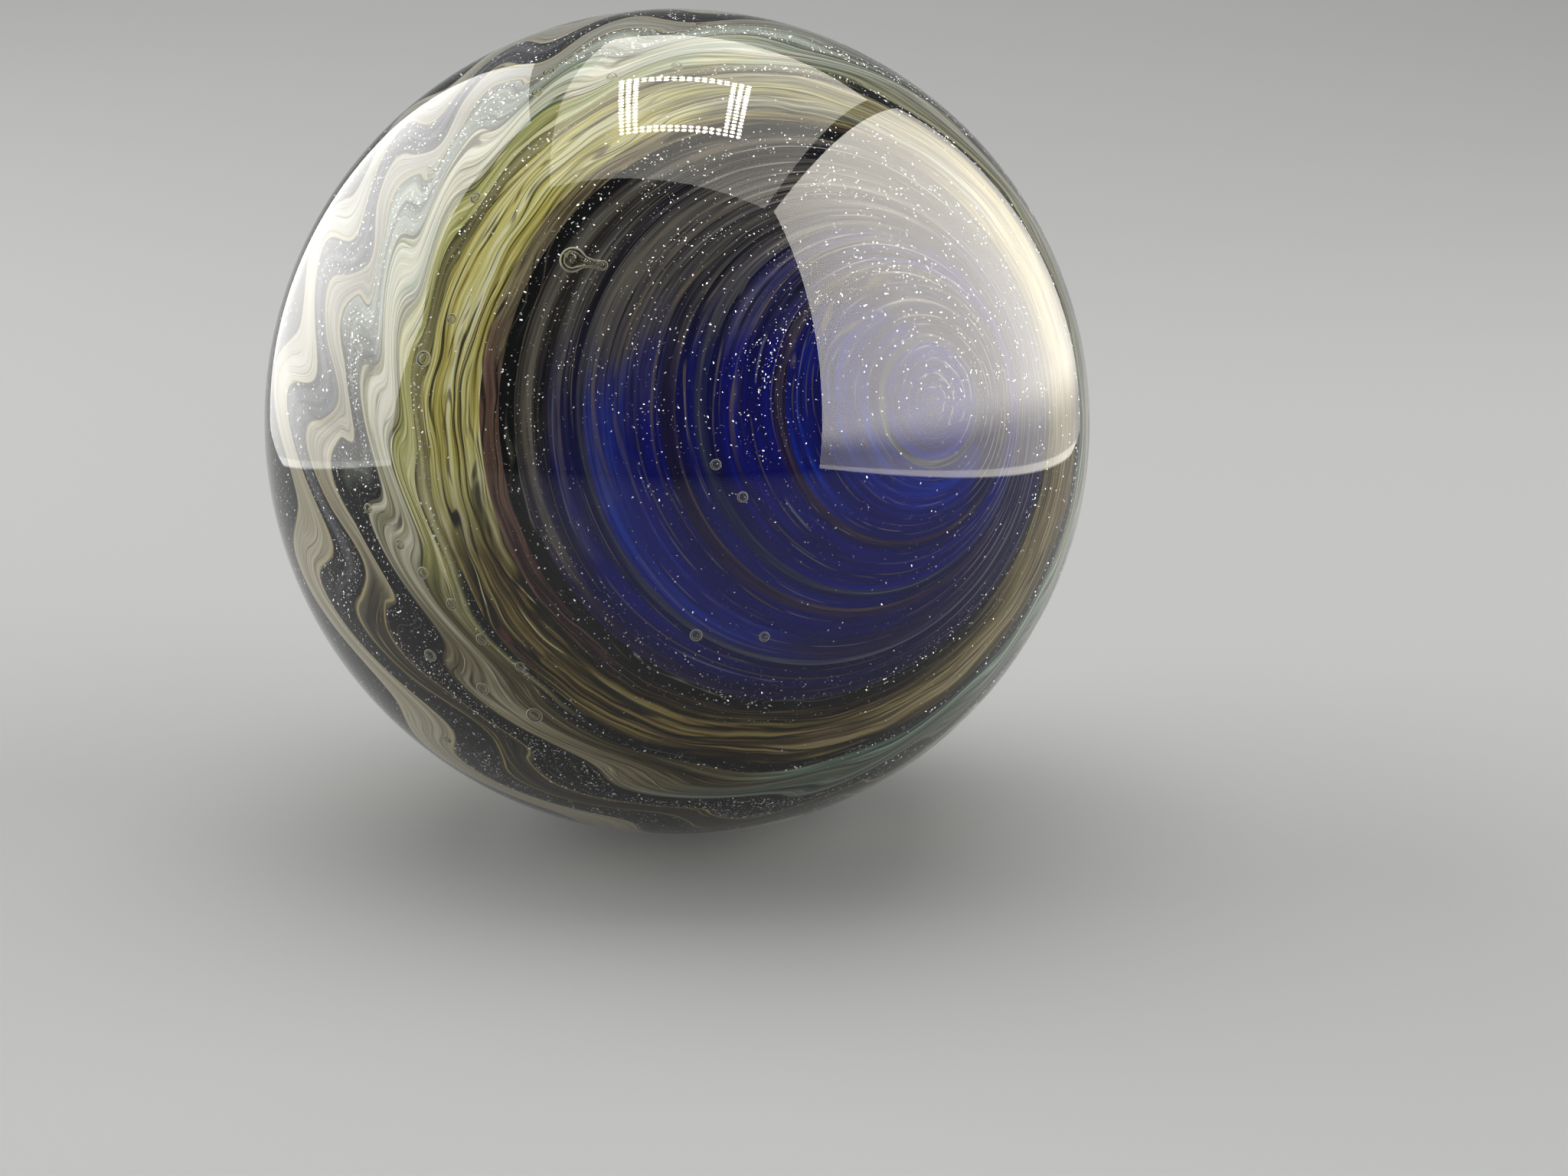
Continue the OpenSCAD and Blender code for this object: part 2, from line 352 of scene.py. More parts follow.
def trailGlass(name, row):
    look = {**plainLook, **row}
    material, tree, output = blank(name)
    stored = [addNode(tree, "ShaderNodeAttribute", {"attribute_name": label}).outputs
              for label in ("ring", "inset", "around")]
    plainRing, inset, circle = stored[0]["Fac"], stored[1]["Fac"], stored[2]["Vector"]

    # the streaks wander a little as they go round
    wander = noise(along(circle, plainRing, look["wanderRound"], 0.09))
    ring = total(plainRing, sway(wander, look["wander"]))
    broad = noise(along(circle, ring, look["broadRound"], look["broad"]), 4.0, 0.62)
    fine = noise(along(circle, ring, look["fineRound"], look["fine"]), 3.0, 0.6)
    patch = noise(along(circle, plainRing, 1.7, 0.12), 3.0, 0.55, 1.3)

    # each zone of the marble has its own tones, and the streaks move through them. Some zones low on the
    # marble hold darker tones that paint shade there
    first, last = look["rings"]
    level = ramp(calc("DIVIDE", minus(plainRing, first), last - first), look["levels"])
    tone = total(level, total(sway(broad, look["streaks"]), sway(fine, look["threads"])))
    colour = ramp(tone, look["tones"])
    for part in look["zones"]:
        near = total(toward(circle, part["turn"]), sway(patch, part["ragged"]))
        if part["ring"]:
            away = calc("ABSOLUTE", minus(ring, part["ring"]))
            near = total(near, product(away, -part["ringFade"]))
        share = product(ease(near, *part["spread"]), part["strength"])
        colour = mixColour(share, colour, ramp(tone, part["tones"]))

    # thin threads of other glass follow the bands
    for line in look["lines"]:
        bend = noise(along(circle, ring, line["roundSize"], 0.3), 1.0)
        phase = total(product(ring, line["perDegree"]), sway(bend, line["loose"]))
        crest = calc("SINE", product(phase, 2 * math.pi))
        shift = (line["perDegree"] * 7, 3.1, 0)
        seat = calc("ADD", along(circle, ring, 2.6, 0.7), shift, kind="ShaderNodeVectorMath")
        where = ease(noise(seat), *line["where"])
        share = product(ease(crest, 1 - line["width"], 1.0), where, line["strength"])
        if line["turn"]:
            share = product(share, ease(toward(circle, line["turn"]), -0.3, 0.6))
        colour = mixColour(share, colour, paint(line["colour"]))

    # the border of each band is drawn out into a contour
    if look["edges"]:
        depth = total(inset, sway(fine, 0.25))
        for low, high, width, strength, tint in look["edges"]:
            into, outOf = ease(depth, low, low + width), ease(depth, high + width, high)
            colour = mixColour(product(into, outOf, strength), colour, paint(tint))

    # specks of silver dust hang in the dark streaks; their pale colour is partly the specks' own and partly a
    # painted sparkle
    if look["glintDust"]:
        spot = addNode(tree, "ShaderNodeTexCoord").outputs["Object"]
        cells = addNode(tree, "ShaderNodeTexVoronoi", Vector=spot, Scale=1 / glintDust["apart"], Randomness=1.0)
        pick = addNode(tree, "ShaderNodeSeparateColor", Color=cells.outputs["Color"])
        filled = calc("GREATER_THAN", pick.outputs[0], glintDust["without"])
        speck = ease(cells.outputs["Distance"], *glintDust["size"])
        shade = ease(tone, look["glintDustTone"], look["glintDustTone"] - 0.35)
        gather = ease(noise(along(circle, ring, 4.0, 0.5), 3.0), 0.35, 0.7)
        amount = product(gather, pick.outputs[1], look["glintDust"])
        share = product(speck, filled, shade, amount)
        colour = mixColour(share, colour, paint(glintDust["colour"]))

    glass = addNode(tree, "ShaderNodeBsdfPrincipled", Base_Color=colour, Roughness=0.5)
    glass.inputs["Specular IOR Level"].default_value = 0.0
    feed(output.inputs["Surface"], glass.outputs[0])
    return material


# silver specks that the glass holds, painted pale as if they sparkle
glintDust = {
    "apart": 0.00017,  # from one speck to the next
    "size": (0.34, 0.16),  # where a speck starts and is full, as shares of that
    "without": 0.7,  # share of the places that stay empty
    "colour": "c8cad2",
}
plainLook = {  # for a glass whose row doesn't say otherwise
    "wander": 2.0, "wanderRound": 2.4, "broad": 0.55, "broadRound": 1.1, "fine": 2.6, "fineRound": 1.6,
    "glintDust": 0, "glintDustTone": 0.75, "zones": [], "lines": [], "edges": [],
}


# other tones near a turn, and near a ring if one is given; some zones low on the marble are darker tones that
# paint shade there. They come in from the first to the last spread, which is 1 at that turn and -1 opposite
# it, with a ragged border
def zone(turn, spread, ragged, tones, ring=None, ringFade=0, strength=1):
    return {"turn": turn, "spread": spread, "ragged": ragged, "tones": tones, "ring": ring,
            "ringFade": ringFade, "strength": strength}


# threads of another colour: how many to a degree, their width, where the patches that hold them start and are
# full, and how strong they are, all round or near one turn
def thread(perDegree, width, where, strength, colour, roundSize=2.0, loose=1.5, turn=None):
    return {"perDegree": perDegree, "width": width, "where": where, "strength": strength, "colour": colour,
            "roundSize": roundSize, "loose": loose, "turn": turn}


smokeZone = zone(105, (-0.2, 0.65), 0.5, {
    0: "07080f", 0.14: "16161e", 0.28: "343236", 0.42: "504d49", 0.6: "6c675e",
    1: "a29e92"}, ring=37, ringFade=0.045)
plumZone = zone(300, (0.2, 0.85), 0.4, {
    0: "060530", 0.35: "120c3c", 0.55: "201640", 0.75: "34243a",
    1: "54403a"}, ring=34, ringFade=0.06, strength=0.85)
tanZone = zone(140, (0.1, 0.8), 0.6, {
    0: "26231f", 0.2: "4c483f", 0.45: "706b5e", 1: "a8a28e"}, ring=39, ringFade=0.2)
greyLines = [
    thread(0.62, 0.14, (0.4, 0.58), 0.75, "aaa49c", roundSize=0.5, loose=0.9, turn=30),
    thread(0.55, 0.05, (0.5, 0.66), 0.4, "8b8c90", roundSize=0.5, loose=0.9),
    thread(0.83, 0.1, (0.48, 0.64), 0.6, "5f574a", roundSize=0.5, loose=0.9),
    thread(1.3, 0.2, (0.44, 0.64), 0.5, "08081e", roundSize=0.5, loose=0.9),
    thread(0.47, 0.12, (0.42, 0.6), 0.65, "7a6c58", roundSize=0.5, loose=1.6, turn=100),
    thread(0.8, 0.2, (0.42, 0.6), 0.75, "06060c", roundSize=0.5, loose=1.6, turn=100),
]
still = {"wander": 0.5, "wanderRound": 0.7, "broadRound": 0.45, "fineRound": 0.7, "fine": 2.2}  # for the eye
# each glass: the rings it spans, how far broad streaks and fine threads move its tone and how many there are
# to a degree, its tone from the first ring to the last, and its tones from dark to light. The edges are
# contours along its border: from where to where in degrees, how soft, how strong, and the colour
glasses = {
    "navy": {
        **still, "rings": (0, 40), "streaks": 0.7, "threads": 0.5, "glintDust": 0.2, "broad": 0.5,
        "levels": {0: 0.6, 0.2: 0.6, 0.45: 0.45, 0.6: 0.4, 0.75: 0.4, 0.86: 0.3, 0.96: 0.2, 1: 0.2},
        "tones": {0: "010136", 0.35: "03035c", 0.55: "040876", 0.75: "0a1888", 1: "1a2e9c"},
        "zones": [plumZone, smokeZone, tanZone], "lines": greyLines,
    },
    "cobalt": {
        **still, "rings": (0, 40), "streaks": 0.6, "threads": 0.4, "glintDust": 0.15, "broad": 0.45,
        "levels": {0: 0.42, 0.3: 0.42, 0.44: 0.3, 0.62: 0.3, 0.66: 0.3, 0.76: 0.5, 0.84: 0.5, 1: 0.35},
        "tones": {0: "02024a", 0.3: "050a66", 0.5: "0a1c82", 0.7: "1034a6", 1: "2050c8"},
        "zones": [
            zone(30, (-0.9, -0.6), 0.12, {
                0: "02022e", 0.35: "06064c", 0.6: "10125a", 0.8: "262a5c",
                1: "444862"}, ring=32, ringFade=0.05),
            plumZone,
            smokeZone,
        ],
        "lines": greyLines,
    },
    "violet": {
        **still, "rings": (0, 40), "streaks": 0.8, "threads": 0.6, "broad": 0.6,
        "levels": {0: 0.5, 0.7: 0.45, 0.96: 0.3, 1: 0.3},
        "tones": {0: "080634", 0.35: "180f40", 0.6: "2c2248", 0.8: "463a50", 1: "6a5c5a"},
        "zones": [plumZone, smokeZone, tanZone], "lines": greyLines,
    },
    "silver": {
        **still, "rings": (0, 40), "streaks": 0.9, "threads": 0.7, "broad": 0.7,
        "levels": {0: 0.45, 1: 0.4},
        "tones": {0: "0c0f40", 0.35: "1a1f50", 0.55: "3a3e5a", 0.75: "62646e", 1: "96968f"},
        "zones": [smokeZone],
    },
    "amber": {
        "rings": (41.5, 44), "streaks": 1, "threads": 0.8, "glintDust": 0.6, "broad": 0.8, "fine": 2,
        "levels": {0: 0.4, 1: 0.5},
        "tones": {0: "14110f", 0.3: "3c3426", 0.5: "6c6044", 0.75: "8f8454", 1: "b0a878"},
        "zones": [
            # painted shade: darker tones low on the marble, at the bottom of the amber band
            zone(240, (0.25, 0.8), 0.6, {
                0: "040306", 0.35: "0e0a0a", 0.55: "1a140e", 0.75: "3a2e18", 1: "5a4c2c"}),
            zone(150, (0.6, 0.95), 0.5, {0: "3a3226", 0.3: "6c624a", 0.6: "968a66", 1: "b8b08c"}),
            zone(194, (0.75, 0.98), 0.4, {
                0: "120a0e", 0.35: "3c262a", 0.6: "64443f", 1: "927464"}, strength=0.85),
        ],
        "lines": [
            thread(0.9, 0.16, (0.42, 0.56), 0.7, "6e5e4a"),
            thread(0.6, 0.25, (0.42, 0.56), 0.85, "0a0808"),
        ],
    },
    "gold": {
        "rings": (44, 52.5), "streaks": 1, "threads": 0.75, "glintDust": 0.8, "glintDustTone": 0.5, "broad": 0.75,
        "fine": 2,
        "levels": {0: 0.6, 0.2: 0.74, 0.7: 0.78, 0.9: 0.7, 1: 0.55},
        "tones": {0: "15110a", 0.22: "4c4022", 0.4: "887c3e", 0.6: "aea24c", 0.82: "c8c062", 1: "dedc9c"},
        "zones": [
            # painted shade: darker tones low on the marble, at the bottom of the gold band
            zone(236, (0.35, 0.85), 0.7, {
                0: "020101", 0.35: "0c0906", 0.52: "1c150c", 0.68: "3c3018", 0.85: "64542a", 1: "8a7a48"}),
            zone(20, (0.1, 0.9), 0.6, {
                0: "2c261a", 0.4: "6a5a3c", 0.7: "98875e", 1: "c2b48c"}, strength=0.8),
            zone(322, (0.4, 0.85), 0.6, {
                0: "1a140c", 0.4: "40351f", 0.6: "57492f", 0.8: "726244", 1: "9c8c6a"}, strength=0.9),
            zone(92, (0.3, 0.8), 0.5, {
                0: "14140f", 0.4: "46463c", 0.65: "6a6a5c", 1: "9c9c8c"}, ring=44.5, ringFade=0.2),
            zone(92, (0.6, 0.98), 0.6, {
                0: "2c2c24", 0.4: "5e5c4a", 0.7: "84816a", 1: "bab69c"}, strength=0.8),
            zone(146, (0.6, 0.95), 0.5, {
                0: "464020", 0.3: "988c48", 0.55: "c6ba66", 0.8: "e4dd94", 1: "f2efca"}, strength=0.85),
        ],
        "lines": [
            thread(0.5, 0.14, (0.45, 0.58), 0.85, "1a150e"),
            thread(0.9, 0.14, (0.46, 0.6), 0.7, "33291a"),
            thread(0.42, 0.4, (0.36, 0.5), 0.9, "100d09", turn=236),
            thread(0.38, 0.24, (0.42, 0.55), 0.9, "16120b", turn=200),
            thread(0.6, 0.1, (0.48, 0.6), 0.7, "e8e2a4", turn=150),
            thread(0.33, 0.14, (0.42, 0.58), 0.8, "5a3632", turn=185),
        ],
    },
    "green": {
        "rings": (54.5, 57.5), "streaks": 1, "threads": 0.75, "glintDust": 0.4, "glintDustTone": 0.4, "broad": 0.8,
        "fine": 2,
        "levels": {0: 0.5, 0.5: 0.68, 1: 0.64},
        "tones": {0: "2a2c1a", 0.25: "66703a", 0.45: "989a52", 0.6: "b4b068", 0.78: "ccc892", 1: "e8e6c4"},
        "zones": [
            # painted shade: darker tones low on the marble, at the bottom of the green band
            zone(262, (0.2, 0.9), 0.6, {
                0: "0a0906", 0.4: "2e281a", 0.6: "4e452e", 0.8: "6a6044", 1: "8a8266"}),
            zone(40, (0.1, 0.8), 0.8, {
                0: "181a12", 0.35: "46483a", 0.55: "747258", 0.75: "9c9a7c", 1: "ccccb4"}),
            zone(112, (0.82, 1), 0.8, {
                0: "34483a", 0.4: "64846c", 0.7: "98b090", 1: "ccd8c0"}, strength=0.4),
            zone(158, (0.6, 0.98), 0.5, {
                0: "4c4e2a", 0.3: "989658", 0.55: "c2be7e", 0.8: "e0dca8", 1: "f2f0d4"}, strength=0.7),
            zone(316, (0.6, 0.95), 0.5, {
                0: "0e1c18", 0.4: "304a44", 0.6: "526e64", 0.8: "789084", 1: "a6b8aa"}, strength=0.85),
        ],
        "lines": [
            thread(0.6, 0.16, (0.46, 0.6), 0.8, "23240f"),
            thread(0.9, 0.12, (0.48, 0.6), 0.6, "5a7a3c", turn=150),
            thread(0.7, 0.14, (0.46, 0.6), 0.7, "f0ecb4", turn=150),
        ],
    },
    "khaki": {
        "rings": (57.5, 63), "streaks": 0.8, "threads": 0.65, "broad": 0.7, "fine": 2,
        "levels": {0: 0.6, 0.5: 0.72, 1: 0.66},
        "tones": {0: "55523a", 0.3: "98966c", 0.55: "bdb998", 0.75: "d4d1b8", 1: "ecead8"},
        "zones": [
            # painted shade: darker tones low on the marble, at the bottom of the khaki band
            zone(262, (0.3, 1), 0.6, {
                0: "120e08", 0.35: "342d1c", 0.55: "554b36", 0.75: "72694e", 1: "968e72"}),
            zone(40, (0.1, 0.85), 0.8, {
                0: "24241c", 0.35: "606054", 0.55: "888674", 0.75: "acaa98", 1: "dedccc"}),
            zone(314, (0.6, 0.95), 0.5, {
                0: "121a18", 0.4: "38463f", 0.7: "5e6e66", 1: "909c94"}, strength=0.8),
            zone(118, (0.8, 1), 0.8, {
                0: "485a4c", 0.4: "839686", 0.7: "acbaa6", 1: "dae0d0"}, strength=0.6),
        ],
        "lines": [
            thread(0.55, 0.14, (0.44, 0.58), 0.8, "2c261a"),
            thread(1, 0.14, (0.46, 0.6), 0.6, "5a4c34"),
            thread(0.62, 0.12, (0.48, 0.6), 0.6, "6d8a60", turn=140),
            thread(0.8, 0.12, (0.47, 0.6), 0.7, "f2eecc", turn=180),
        ],
        "edges": [(-0.3, 0.2, 0.12, 0.8, "3c3624"), (0.9, 1, 0.12, 0.6, "2c281c")],
    },
    "cream": {
        "rings": (68, 134), "streaks": 0.5, "threads": 0.35, "broad": 0.5,
        "levels": {0: 0.55, 0.15: 0.6, 0.3: 0.7, 1: 0.65},
        "tones": {0: "8a8066", 0.3: "bcb69a", 0.55: "d6d2bc", 0.75: "e8e5d8", 1: "f6f5ee"},
        "zones": [
            # painted shade: darker tones low on the marble, at the bottom of the cream bands
            zone(262, (0.1, 0.85), 0.8, {
                0: "342d1e", 0.35: "776f56", 0.55: "9a927a", 0.75: "b6b098", 1: "d6d0be"}),
            # painted shade: near black tones low on the marble, round ring 70.5
            zone(278, (0.4, 0.75), 0.5, {
                0: "060504", 0.5: "1a1710", 0.8: "403a2c", 1: "6a624e"}, ring=70.5, ringFade=0.07),
            zone(80, (0.2, 0.8), 0.8, {
                0: "343838", 0.4: "565a58", 0.6: "787e78", 0.8: "98a09a", 1: "c4c8c0"}),
            zone(150, (0.3, 0.9), 0.5, {
                0: "5a584e", 0.3: "7e7c70", 0.55: "a09e92", 0.75: "b6b4a8",
                1: "d4d2c8"}, ring=78, ringFade=0.012, strength=0.85),
        ],
        "lines": [
            thread(0.7, 0.1, (0.46, 0.58), 0.75, "6c5a38"),
            thread(0.45, 0.1, (0.5, 0.6), 0.6, "b0a466"),
        ],
        "edges": [
            (-0.4, 0.15, 0.12, 0.75, "4d4126"), (0.3, 0.55, 0.15, 0.6, "c8b878"),
            (1.05, 1.15, 0.12, 0.7, "6b5836"),
        ],
    },
    "sage": {
        "rings": (96, 106), "streaks": 0.8, "threads": 0.35, "broad": 0.6,
        "levels": {0: 0.5, 1: 0.5},
        "tones": {0: "1e241e", 0.35: "4c5848", 0.55: "6e7c68", 0.75: "8e9a88", 1: "c0c8b8"},
        "zones": [
            # painted shade: darker tones low on the marble, at the bottom of the sage band
            zone(250, (0, 0.7), 0.8, {0: "0c0d0a", 0.5: "3a3c2e", 0.75: "545640", 1: "7a7a60"}),
        ],
        "lines": [
            thread(0.8, 0.1, (0.44, 0.58), 0.7, "20241c"),
        ],
        "edges": [(-0.3, 0.2, 0.12, 0.7, "2c3022"), (0.9, 1, 0.12, 0.5, "3a4034")],
    },
    "ground": {
        "rings": (40, 180), "streaks": 0.8, "threads": 0.4, "glintDust": 1, "glintDustTone": 0.9, "broad": 0.5,
        "levels": {0: 0.4, 1: 0.4},
        "tones": {0: "030303", 0.4: "08090a", 0.6: "121214", 0.8: "28282a", 1: "4c4c48"},
        "zones": [  # where the dark glass is thin, its neighbours show through
            zone(150, (-0.1, 0.5), 0.8, {
                0: "4c4a2c", 0.35: "8c865a", 0.6: "b8b280", 1: "dcd8b4"}, ring=53.5, ringFade=0.5),
            zone(140, (0.2, 0.8), 0.9, {
                0: "50544c", 0.35: "989e90", 0.6: "bcc2b2", 1: "e0e2d2"}, ring=65.5, ringFade=0.12),
            zone(178, (0.4, 0.9), 0.4, {
                0: "4c4c4c", 0.4: "84848a", 1: "c4c4c4"}, ring=76, ringFade=0.1, strength=0.7),
            zone(195, (0.2, 0.8), 1, {
                0: "33312a", 0.35: "7c7864", 0.6: "a8a48e",
                1: "d4d0bc"}, ring=111, ringFade=0.06, strength=0.9),
        ],
        "lines": [
            thread(0.5, 0.1, (0.5, 0.64), 0.55, "5a584a"),
            thread(0.9, 0.1, (0.54, 0.68), 0.5, "8c8c88"),
        ],
    },
}
slots = {
    "navy": "navy_glass", "cobalt": "cobalt_glass", "violet": "violet_glass", "silver": "silver_grey_glass",
    "amber": "amber_glass", "gold": "gold_glass", "green": "green_glass", "khaki": "khaki_glass",
    "cream": "cream_glass", "sage": "sage_glass", "ground": "dark_glitter_glass", "casing": "clear_glass",
}


def settle(piece, slotName, *nodes):
    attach(piece, "root")
    if nodes:
        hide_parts(*nodes)
    return piece


def makeTrails():
    trails = {}
    edge = 0
    for rim, glass in eyeRings:
        trails.setdefault(glass, []).append((edge, rim * marble["eyeRim"]))
        edge = rim * marble["eyeRim"]
    trails["ground"] = []
    for first, last, glass in rakedBands:
        trails.setdefault(glass, []).append((first, last))
        if first > edge:
            trails["ground"].append((edge, first))
        edge = last
    trails["ground"].append((edge, ringSpan))
    pieceNodes = {
        "navy": "navy_rings", "cobalt": "cobalt_rings", "violet": "violet_rings", "silver": "silver_rings",
        "amber": "amber_band", "gold": "gold_band", "green": "green_band", "khaki": "khaki_band",
        "cream": "cream_bands", "sage": "sage_band", "ground": "dark_ground",
    }
    made = {}
    for glass, bands in trails.items():
        material = trailGlass(glass + "Glass", glasses[glass])
        piece = growBands(glass + "Trails", bands, material)
        made[glass] = settle(piece, slots[glass], pieceNodes[glass])
    return made


trails = makeTrails()
print("trails: done")


# bubbles and the clear casing

bubbles = {
    "largest": 0.0009,  # diameter of the largest seed bubble
    "places": [  # ring angle, turn, and size as a share of the largest
        (52, 164, 0.9), (49, 157, 0.6), (59, 192, 0.6), (57, 197, 0.7), (55, 203, 0.7), (64, 209, 0.8),
        (60, 217, 0.8), (52, 217, 0.6), (57, 225, 1), (54, 210, 0.7), (63, 186, 0.6), (77, 222, 0.6),
        (64, 113, 0.8), (61, 117, 0.7), (56, 107, 0.7), (64, 136, 0.6), (54, 137, 0.7), (54, 97, 0.7),
        (66, 88, 0.7), (24, 191, 0.6), (23, 203, 0.6), (34, 232, 0.7), (31, 244, 0.6), (98, 20, 0.8),
        (104, 300, 0.7),
    ],
    "bigSize": 0.0013,
    "bigPlace": (38, 141),
    "tailSizes": [0.5, 0.34, 0.4],  # as shares of the large bubble
    "tailStep": (0.95, 0.2),  # ring angle and turn from one tail bubble to the next
    "tailSteps": 3,  # drops from one to the next
}


def lookUp(value, points):
    for (x1, y1), (x2, y2) in zip(points, points[1:]):
        if value <= x2:
            return y1 + (y2 - y1) * max(0, value - x1) / (x2 - x1)
    return points[-1][1]


eyeTurning = Euler((math.radians(90 - marble["eyeLift"]), 0, math.radians(marble["eyeTurn"])))


def onBall(radius, ring, turn):
    tilt, ring, turn = (math.radians(a) for a in (lookUp(ring, rake["tilt"]), ring, turn))
    side, ahead = radius * math.sin(ring) * math.cos(turn), radius * math.cos(ring)
    place = Vector((
        side * math.cos(tilt) - ahead * math.sin(tilt), radius * math.sin(ring) * math.sin(turn),
        side * math.sin(tilt) + ahead * math.cos(tilt)))
    place.rotate(eyeTurning)
    return place


def clearGlass(name, colour, paintedHalo=0.0):  # with a painted pale halo and a painted dark outline where it is seen edge on, which stand in for the light and dark that reflection gives a bubble's rim
    material, tree, output = blank(name)
    glass = addNode(tree, "ShaderNodeBsdfPrincipled", Base_Color=paint(colour), Roughness=0.0, IOR=1.47)
    glass.inputs["Transmission Weight"].default_value = 1.0
    if paintedHalo:
        # painted reflection: toward the rim the wall turns to a pale diffuse glass, then to a near black
        # outline
        facing = addNode(tree, "ShaderNodeLayerWeight", Blend=0.5).outputs["Facing"]
        clear = calc("MULTIPLY_ADD", ease(facing, 0.3, 0.75), -paintedHalo, 1.0)
        feed(glass.inputs["Transmission Weight"], clear)
        feed(glass.inputs["Base Color"], ramp(facing, {0: colour, 0.68: colour, 0.84: "0a0a08"}))
    passing = addNode(tree, "ShaderNodeBsdfTransparent", Color=paint("ffffff"))
    ray = addNode(tree, "ShaderNodeLightPath")
    mixed = addNode(tree, "ShaderNodeMixShader")
    seeThrough = calc("MAXIMUM", ray.outputs["Is Shadow Ray"], ray.outputs["Is Diffuse Ray"])
    for socket, value in zip(mixed.inputs, (seeThrough, glass.outputs[0], passing.outputs[0])):
        feed(socket, value)
    feed(output.inputs["Surface"], mixed.outputs[0])
    return material


def makeBubbleSpots():  # one point for each bubble, with its diameter
    middle = (marble["radius"] + colourRadius) / 2
    spots = [(ring, turn, bubbles["largest"] * size) for ring, turn, size in bubbles["places"]]
    ring, turn = bubbles["bigPlace"]
    spots.append((ring, turn, bubbles["bigSize"]))
    sizes = [1] + bubbles["tailSizes"]
    steps = bubbles["tailSteps"]
    for i in range(1, steps * (len(sizes) - 1) + 1):  # the tail is one smooth drop
        back, size = i / steps, lookUp(i / steps, list(enumerate(sizes)))
        spots.append((ring - back * bubbles["tailStep"][0], turn - back * bubbles["tailStep"][1],
                      bubbles["bigSize"] * size))
    mesh = bpy.data.meshes.new("bubbleSpots")
    mesh.from_pydata([onBall(middle, ring, turn) for ring, turn, size in spots], [], [])
    sizes = mesh.attributes.new("size", "FLOAT", "POINT")
    for i, (ring, turn, size) in enumerate(spots):
        sizes.data[i].value = size
    return addObject("bubbleSpots", mesh)


def makeCasing():
    tree, given, out = newTree("clearCasingTree", [
        ("Spots", "Object", None), ("Ball Radius", "Float", marble["radius"]),
        ("Bubble Segments", "Int", 20), ("Bubble Rings", "Int", 12), ("Glass", "Material", None),
        ("Bubble Glass", "Material", None),
    ])
    globe = addNode(tree, "GeometryNodeMeshIcoSphere", Radius=given["Ball Radius"], Subdivisions=7)
    ball = addNode(tree, "GeometryNodeSetMaterial", Geometry=globe.outputs["Mesh"], Material=given["Glass"])
    spots = addNode(tree, "GeometryNodeObjectInfo", {"transform_space": "ORIGINAL"}, Object=given["Spots"])
    size = addNode(tree, "GeometryNodeInputNamedAttribute", {"data_type": "FLOAT"}, Name="size").outputs[0]
    drop = addNode(
        tree, "GeometryNodeMeshUVSphere", Radius=0.5,
        Segments=given["Bubble Segments"], Rings=given["Bubble Rings"])
    placed = addNode(
        tree, "GeometryNodeInstanceOnPoints", Points=spots.outputs["Geometry"], Instance=drop.outputs["Mesh"],
        Scale=size)
    real = addNode(tree, "GeometryNodeRealizeInstances", Geometry=placed.outputs[0])
    merged = addNode(tree, "GeometryNodeMeshBoolean", {"operation": "UNION", "solver": "EXACT"})
    merged.inputs["Self Intersection"].default_value = True
    feed(merged.inputs["Mesh 2"], real.outputs[0])
    lined = addNode(
        tree, "GeometryNodeSetMaterial", Geometry=merged.outputs["Mesh"], Material=given["Bubble Glass"])
    hollow = addNode(tree, "GeometryNodeFlipFaces", Mesh=lined.outputs[0])  # a bubble faces its own air
    joined = addNode(tree, "GeometryNodeJoinGeometry")
    feed(joined.inputs[0], hollow.outputs[0])
    feed(joined.inputs[0], ball.outputs[0])
    smooth = addNode(tree, "GeometryNodeSetShadeSmooth", Geometry=joined.outputs[0], Shade_Smooth=True)
    whole = addNode(tree, "GeometryNodeRealizeInstances", Geometry=smooth.outputs[0])
    feed(out["Geometry"], whole.outputs[0])
    spotHolder = makeBubbleSpots()
    piece = growPiece("clearCasing", tree, {
        "Spots": spotHolder, "Glass": clearGlass("clearCasingGlass", "ffffff"),
        # the walls' tint dims what shows through each bubble, a painted shade, and colours the painted halo
        "Bubble Glass": clearGlass("bubbleWallGlass", "dedcc4", 0.8),
    })
    bpy.data.objects.remove(spotHolder)
    return settle(piece, slots["casing"], "clear_casing")


makeCasing()
print("casing: done")


# glitter: silver flakes that hang just over the dark glass

glitter = {
    "size": 0.00006,
    "coarse": 0.000084,  # on the dark ground
    "sizes": (0.45, 1.7),  # the smallest and largest, as shares of the size
    "fewLarge": 2.5,  # the higher, the rarer the large ones
    "lift": (0.00002, 0.0004),  # from the coloured glass out into the casing
    "tip": 0.55,  # radians that a flake may tip
    "shape": (1.35, 0.7, 0.16),  # length, width and thickness, as shares of its size
    "seeds": {"lift": 3, "tip": 5, "size": 8},
    "beds": {  # flakes to a square millimetre where they are thickest, and the seed
        "ground": (42, 11), "navy": (42, 12), "cobalt": (30, 13), "violet": (42, 14), "silver": (30, 15),
        "amber": (18, 16), "gold": (3, 17), "green": (1.5, 18), "khaki": (0.6, 19), "sage": (2, 20),
    },
    "byRing": [  # share of that by ring angle
        (0, 0.35), (7, 0.5), (9, 0.9), (12, 0.5), (15, 0.8), (18, 1), (22, 0.45), (26, 0.35), (29, 0.6),
        (34, 0.35), (38, 0.8), (40, 0.3), (42, 0.35), (45, 0.6), (52, 0.6), (62, 0.8), (64, 1), (68, 1),
        (73, 0.7), (80, 0.6), (90, 0.3), (110, 0.2), (140, 0.1), (180, 0.08),
    ],
    "driftLeast": 0.12,  # share left between the drifts
    "eyeTurn": 90,  # over the eye they gather round this turn
    "eyeLeast": 0.14,  # share left opposite it
}


